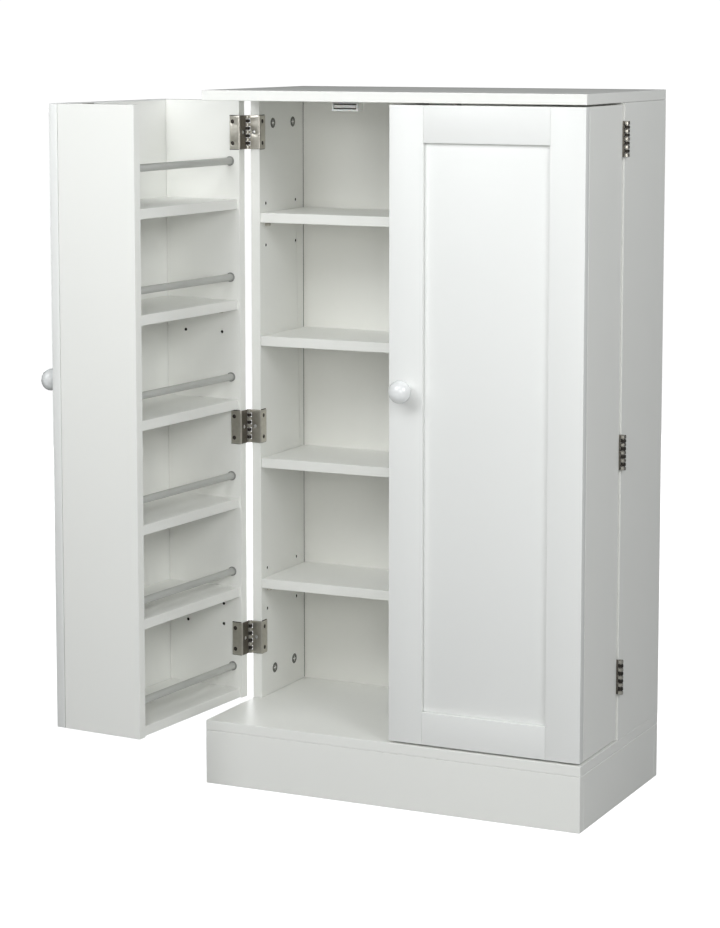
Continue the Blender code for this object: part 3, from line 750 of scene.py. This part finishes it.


# ---- Hinges -----------------------------------------------------------------------------------
# Three wrap-round hinges to a door.  Each leaf is 1.4 mm nickel-plated steel, punched flat with
# its screw holes, bent over the board's edge and rolled into knuckles round a pin.  Two screws
# hold it to the inner face and one holds its edge.  A dark rim of painted shadow lies round each
# leaf on the inner face, and the knuckles are drawn dark as painted shade.

LEAF_METAL = 0.0014
LEAF_GAP = 0.0003                       # between a leaf and the board's edge under it
RIM = 0.0005                            # how far a punched edge is rounded
BEND_RADIUS = 0.0016                    # to the middle of the metal
KNUCKLES = 9
KNUCKLE_RADIUS = 0.0038
KNUCKLE_PLAY = 0.0011                   # from one knuckle to the next
KNUCKLE_EASING = 0.0005
TONGUE_NEAR = 0.0005                    # outside the knuckles, where the tongues start
TONGUE_FAR = 0.0009                     # inside their surface, where the tongues end
PIN_RADIUS = 0.0017
CORNER_RADIUS = 0.0022                  # of a leaf's outer corners
SHADOW_RIM_MARGIN = 0.0007                  # painted shadow showing round a leaf on the inner face
SCREW_RISE = 0.0164                     # inner-face screws, from the leaf's middle
SCREW_HOLE = 0.0030                     # radius of a leaf's holes
SCREW_TURNS = (0.3, 1.0, 0.6)           # how each driver left its cross, in radians
SCREW_SINKS = (0.0008, 0.0008, 0.0006)  # of a head's rim under the leaf's face
EDGE_SCREW_IN = 0.0060                  # edge screw, from the board's outer face
CABINET_SCREW_BACK = 0.0068             # from the carcass's front edge to the inner screws
DOOR_SCREW_FORWARD = 0.0108             # from the door's rear edge to the inner screws


def rounded_outline(corners, radii, steps=5):
    """Points of an outline whose corners are rounded, each by its own radius."""
    points = []
    for i, (corner, radius) in enumerate(zip(corners, radii)):
        here = Vector(corner)
        before = (Vector(corners[i - 1]) - here).normalized()
        after = (Vector(corners[(i + 1) % len(corners)]) - here).normalized()
        if radius == 0.0:
            points.append(here)
            continue
        middle = here + (before + after) * radius
        for k in range(steps + 1):
            turn = math.pi / 2 * k / steps
            points.append(middle - after * radius * math.cos(turn) - before * radius * math.sin(turn))
    return points


def punched_sheet(outlines, metal):
    """A flat sheet about Z = 0 with the first outline as its edge and the rest as holes."""
    curve = bpy.data.curves.new("sheet", "CURVE")
    curve.dimensions = "2D"
    curve.fill_mode = "BOTH"
    curve.bevel_depth = RIM
    curve.bevel_resolution = 1
    curve.offset = -RIM
    curve.extrude = metal / 2 - RIM
    for outline in outlines:
        line = curve.splines.new("POLY")
        line.points.add(len(outline) - 1)
        for knot, point in zip(line.points, outline):
            knot.co = (point[0], point[1], 0.0, 1.0)
        line.use_cyclic_u = True
    source = bpy.data.objects.new("sheet", curve)
    bpy.context.scene.collection.objects.link(source)
    bpy.context.view_layer.update()
    mesh = bpy.data.meshes.new_from_object(
        source.evaluated_get(bpy.context.evaluated_depsgraph_get()))
    sheet = bmesh.new()
    sheet.from_mesh(mesh)
    bpy.data.objects.remove(source, do_unlink=True)
    bpy.data.curves.remove(curve)
    bpy.data.meshes.remove(mesh)
    bmesh.ops.remove_doubles(sheet, verts=sheet.verts, dist=0.000005)
    sheet.normal_update()
    for face in sheet.faces:              # finish 1 is the sheared edge with its rounded rim, drawn dark partly as painted shadow
        face.material_index = 1 if abs(face.normal.z) < 0.9 else 0
    return sheet


def knuckle_spans(height, first):
    """Height ranges of every second knuckle about the leaf's middle, counted from first."""
    length = height / KNUCKLES
    return [(-height / 2 + i * length + (KNUCKLE_PLAY / 2 if i else 0.0),
             -height / 2 + (i + 1) * length - (KNUCKLE_PLAY / 2 if i < KNUCKLES - 1 else 0.0))
            for i in range(first, KNUCKLES, 2)]


def hinge_half(node, on_door):
    """A leaf on the right-hand side in its closed place, its screws, and a rim of painted shadow
    round it.
    """
    low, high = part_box(node)
    height = high.z - low.z
    depth_sign = -1 if on_door else 1
    axis = Vector((high.x - KNUCKLE_RADIUS, left_hinge["pos_m"][1], (low.z + high.z) / 2))
    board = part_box("right_door_hinge_side" if on_door else "side_panel_right")
    edge_y = board[1].y if on_door else board[0].y
    plate_mid = abs(edge_y - axis.y) - LEAF_GAP - LEAF_METAL / 2    # from the axis to the plate
    wrap_mid = axis.x - (low.x + LEAF_METAL / 2)
    reach = high.y - axis.y if not on_door else axis.y - low.y
    straight = wrap_mid - BEND_RADIUS
    arc = BEND_RADIUS * math.pi / 2
    total = straight + arc + reach - plate_mid - BEND_RADIUS

    # the sheet's outline, anticlockwise: two rounded corners, then a tongue for each knuckle
    near, tongue = KNUCKLE_RADIUS + TONGUE_NEAR, KNUCKLE_RADIUS - TONGUE_FAR
    spans = knuckle_spans(height, 1 if on_door else 0)
    corners = [(total, -height / 2), (total, height / 2)]
    if on_door:
        corners.append((near, height / 2))
    for bottom, top in reversed(spans):
        corners += [(near, top), (tongue, top), (tongue, bottom), (near, bottom)]
    if on_door:
        corners.append((near, -height / 2))
    else:                # the outer tongues end at the leaf's own top and bottom
        corners = corners[:2] + corners[3:-1]
    radii = [CORNER_RADIUS if corner[0] == total else 0.0 for corner in corners]
    inner_hole = (CABINET_SCREW_BACK if not on_door else DOOR_SCREW_FORWARD)
    inner_hole += abs(edge_y - axis.y) - plate_mid - BEND_RADIUS + straight + arc
    edge_hole = axis.x - (board[1].x - EDGE_SCREW_IN)
    holes = [(inner_hole, SCREW_RISE), (inner_hole, -SCREW_RISE), (edge_hole, 0.0)]
    turns = [2 * math.pi * i / 20 for i in range(20)]
    rims = [[(u + SCREW_HOLE * math.cos(t), v + SCREW_HOLE * math.sin(t)) for t in turns]
            for u, v in holes]
    outline = rounded_outline(corners, radii)
    sheet = punched_sheet([outline, *rims], LEAF_METAL)

    cuts = [near + 0.0002] + [straight + arc * k / 5 for k in range(6)]
    for cut in cuts:
        bmesh.ops.bisect_plane(sheet, geom=sheet.verts[:] + sheet.edges[:] + sheet.faces[:],
                               plane_co=(cut, 0, 0), plane_no=(1, 0, 0), dist=0.0000005)

    def bent(point):
        """Where a point of the flat sheet ends up: along, up and out of the sheet's face."""
        along, up, out = point
        if along <= straight:
            inward, back = along, plate_mid - out
        elif along <= straight + arc:
            turn = (along - straight) / BEND_RADIUS
            inward = straight + (BEND_RADIUS + out) * math.sin(turn)
            back = plate_mid + BEND_RADIUS - (BEND_RADIUS + out) * math.cos(turn)
        else:
            inward, back = wrap_mid + out, plate_mid + BEND_RADIUS + along - straight - arc
        return Vector((axis.x - inward, axis.y + depth_sign * back, axis.z + up))

    if on_door:                           # finish 2 is the plate on the door's edge, drawn darker as painted shade
        for face in sheet.faces:
            if face.material_index == 0 and face.calc_center_median().x < straight:
                face.material_index = 2
    for vertex in sheet.verts:
        vertex.co = bent(vertex.co)
    parts = [(sheet, Matrix.Identity(4))]
    inner, ease = PIN_RADIUS + 0.0001, KNUCKLE_EASING
    for bottom, top in spans:
        ring = ((inner, bottom), (KNUCKLE_RADIUS - ease, bottom), (KNUCKLE_RADIUS, bottom + ease),
                (KNUCKLE_RADIUS, top - ease), (KNUCKLE_RADIUS - ease, top), (inner, top))
        knuckle = turned(ring, 36)
        knuckle.normal_update()
        for face in knuckle.faces:        # painted shade: the door leaf's knuckles are dark all over, the cabinet leaf's on their ends
            face.material_index = 1 if on_door or abs(face.normal.z) > 0.9 else 0
        parts.append((knuckle, Matrix.Translation(axis)))
    if not on_door:
        half = height / 2
        pin = ((0.0, -half + 0.0001), (PIN_RADIUS - 0.0005, -half + 0.0001),
               (PIN_RADIUS, -half + 0.0006), (PIN_RADIUS, half - 0.0006),
               (PIN_RADIUS - 0.0005, half - 0.0001), (0.0, half - 0.0001))
        parts.append((turned(pin, 24), Matrix.Translation(axis)))

    screws = []      # each lies under the sheet's face, the edge one clear of the other leaf
    for (u, v), turn, sunk in zip(holes, SCREW_TURNS, SCREW_SINKS):
        surface = LEAF_METAL / 2
        seat, tip = bent((u, v, surface - sunk)), bent((u, v, surface))
        head = cross_head(SCREW_HOLE - 0.0005, crown=0.0005, arm=0.0015, slit=0.0003,
                          depth=0.0010, sink=0.0010, foot=0.0014)
        for face in head.faces:           # finish 1 is the inner screws' painted shade
            face.material_index = 0 if v == 0.0 else 1
        screws.append((head, facing(seat, tip - seat) @ Matrix.Rotation(turn, 4, "Z")))
    # Painted shadow: a thin slab in the raw-board finish under each leaf, a little larger than it,
    # shows as a dark rim round the leaf.
    far_y = low.y - SHADOW_RIM_MARGIN if on_door else high.y + SHADOW_RIM_MARGIN
    near_y = edge_y + depth_sign * (SIDE_EASING + 0.0001)
    shadow_rim = slab((board[0].x - 0.0001, min(near_y, far_y), low.z - SHADOW_RIM_MARGIN),
                  (board[0].x + 0.0010, max(near_y, far_y), high.z + SHADOW_RIM_MARGIN), 0.00004)
    return gather(parts), gather(screws), shadow_rim


# Shaded nickel: the door leaf's edge plate, drawn as a darker copy of the nickel for painted
# shade.  The eye gets a dark grey metal, streaked and blotched.
shaded_nickel, tree, shader, where = new_finish("nickel_edge_plate_painted_shade")
rubs = add(tree, "TexNoise", {"Scale": 1 / 0.0018, "Detail": 5.0, "Roughness": 0.7},
           {"Vector": where})
tone = add(tree, "MixRGB", {"Color1": linear("#56524C"), "Color2": linear("#8F8A81")},
           {"Fac": rubs.outputs["Fac"]})
sheen = add(tree, "MapRange", {"To Min": 0.34, "To Max": 0.56}, {"Value": rubs.outputs["Fac"]})
skin = add(tree, "Bump", {"Strength": 0.3, "Distance": 0.00006},
           {"Height": rubs.outputs["Fac"]})
add(tree, shader, {"Metallic": 1.0}, {"Base Color": tone.outputs["Color"],
    "Roughness": sheen.outputs["Result"], "Normal": skin.outputs["Normal"]})

# Zinc-plated edge screws: brighter than the leaves, with a glint on their domed heads and a
# dark ring where they sit in their holes.
zinc_plate, tree, shader, where = new_finish("bright_zinc_plated_screw")
cloud = add(tree, "TexNoise", {"Scale": 1 / 0.0015, "Detail": 3.0}, {"Vector": where})
tone = add(tree, "MixRGB", {"Color1": linear("#DCDCD9"), "Color2": linear("#F0F0EE")},
           {"Fac": cloud.outputs["Fac"]})
sheen = add(tree, "MapRange", {"To Min": 0.34, "To Max": 0.48}, {"Value": cloud.outputs["Fac"]})
add(tree, shader, {"Metallic": 1.0}, {"Base Color": tone.outputs["Color"],
    "Roughness": sheen.outputs["Result"]})

# Inner screws, drawn dark as painted shade where they sit in the leaf's inner face.  The eye gets
# a dark, faintly brown satin dot.
shaded_screw_steel, tree, shader, where = new_finish("inner_screw_painted_shade")
cloud = add(tree, "TexNoise", {"Scale": 1 / 0.0015, "Detail": 3.0}, {"Vector": where})
tone = add(tree, "MixRGB", {"Color1": linear("#37312E"), "Color2": linear("#5A524D")},
           {"Fac": cloud.outputs["Fac"]})
sheen = add(tree, "MapRange", {"To Min": 0.30, "To Max": 0.45}, {"Value": cloud.outputs["Fac"]})
add(tree, shader, {"Metallic": 0.5}, {"Base Color": tone.outputs["Color"],
    "Roughness": sheen.outputs["Result"]})

for number in (1, 2, 3):
    for leaf, on_door in (("cabinet_leaf", False), ("door_leaf", True)):
        for side in ("right", "left"):
            node = f"right_hinge_{number}_{leaf}"
            shapes = hinge_half(node, on_door)
            if side == "left":
                shapes = [mirrored(shape) for shape in shapes]
            body = f"{side}_door" if on_door else "cabinet"
            turn = left_door_turn if on_door and side == "left" else None
            name = f"{side}_hinge_{number}_{leaf}"
            place(name + "_plate", shapes[0], body, "hinge_steel", [nickel, sheared_and_shade, shaded_nickel],
                  [name], turn)
            place(name + "_screws", shapes[1], body, "hinge_steel", [zinc_plate, shaded_screw_steel], [],
                  turn)
            place(name + "_recess", shapes[2], body, "white_board", [raw_board_and_shade], [], turn)


# ---- Studio -----------------------------------------------------------------------------------
# A plain pale floor, broad soft lights and the camera.  None of it is part of the cabinet, so
# nothing here rides on a body.

FLOOR_REACH = 30                        # from the middle to each edge
FLOOR_UNDER = 0.0005                    # kept this far under the plinth

floor_mesh = bpy.data.meshes.new("studio_floor")
floor_mesh.from_pydata([(x * FLOOR_REACH, y * FLOOR_REACH, -FLOOR_UNDER)
                        for x, y in ((-1, -1), (1, -1), (1, 1), (-1, 1))], [], [(0, 1, 2, 3)])
floor = bpy.data.objects.new("studio_floor", floor_mesh)
bpy.context.scene.collection.objects.link(floor)

# Matt painted studio floor: a pale, even white with a very faint roller mottle.  What the eye
# sees of it is lifted to the white of the surround, so that the floor has no far edge.
paint, tree, shader, where = new_finish("matt_studio_floor_paint")
mottle = add(tree, "TexNoise", {"Scale": 2.0, "Detail": 2.0}, {"Vector": where})
tone = add(tree, "MixRGB", {"Color1": linear("#A9A9A9"), "Color2": linear("#ACACAC")},
           {"Fac": mottle.outputs["Fac"]})
seen = add(tree, "LightPath")
add(tree, shader, {"Roughness": 0.9, "Specular IOR Level": 0.1,
    "Emission Color": linear("#FFFFFF")},
    {"Base Color": tone.outputs["Color"], "Emission Strength": seen.outputs["Is Camera Ray"]})
floor_mesh.materials.append(paint)


def softbox(name, spot, aim, width, height, power, colour):
    """A rectangular soft light at a place, turned to shine at a point."""
    light = bpy.data.lights.new(name, "AREA")
    light.shape = "RECTANGLE"
    light.size, light.size_y = width, height
    light.energy = power
    light.color = linear(colour)[:3]
    lamp = bpy.data.objects.new(name, light)
    bpy.context.scene.collection.objects.link(lamp)
    lamp.location = spot
    lamp.rotation_euler = (Vector(aim) - Vector(spot)).to_track_quat("-Z", "Y").to_euler()


softbox("high_front_light", (-0.2, -1.7, 2.3), (0.0, 0.0, 0.9), 1.6, 0.8, 18.0, "#FCFEFF")
softbox("near_left_light", (-0.7, -1.5, 1.5), (-0.1, 0.0, 0.8), 0.8, 0.6, 9.0, "#FCFEFF")
softbox("low_front_light", (0.8, -2.0, 1.0), (0.0, 0.0, 0.9), 1.0, 0.7, 10.6, "#FFFFFD")
softbox("right_front_light", (2.2, -1.6, 2.0), (0.1, 0.0, 0.8), 1.2, 1.2, 32.6, "#FCFEFF")
softbox("right_light", (2.3, 0.6, 2.3), (0.3, 0.1, 0.9), 1.2, 1.2, 15.8, "#FCFEFF")
softbox("back_light", (-1.8, 3.0, 0.6), (0.0, 0.3, 0.6), 2.4, 0.8, 45.0, "#FCFEFF")

# The surround glows just enough to fill the shadows, and looks white.
world = bpy.data.worlds.new("studio_surround")
bpy.context.scene.world = world
world.use_nodes = True
tree = world.node_tree
fill = add(tree, tree.nodes["Background"], {"Color": linear("#FAFBFC"), "Strength": 0.04})
white = add(tree, "Background", {"Color": linear("#FFFFFF"), "Strength": 1.05})
seen = add(tree, "LightPath")
both = add(tree, "MixShader", {}, {"Fac": seen.outputs["Is Camera Ray"]})
tree.links.new(fill.outputs["Background"], both.inputs[1])
tree.links.new(white.outputs["Background"], both.inputs[2])
tree.links.new(both.outputs["Shader"], tree.nodes["World Output"].inputs["Surface"])

CAMERA_TILT = 0.12083                   # how far the camera looks down, in radians
CAMERA_TURN = 0.44433                   # how far it stands round to the right, in radians

camera_data = bpy.data.cameras.new("camera")
camera_data.sensor_width = 36.0
camera_data.lens = 102.65
camera_data.shift_y = -0.12
camera = bpy.data.objects.new("camera", camera_data)
bpy.context.scene.collection.objects.link(camera)
camera.location = (1.5791, -3.4156, 1.1251)
camera.rotation_euler = (math.pi / 2 - CAMERA_TILT, 0.0, CAMERA_TURN)
bpy.context.scene.camera = camera

bpy.context.scene.view_settings.view_transform = "Standard"
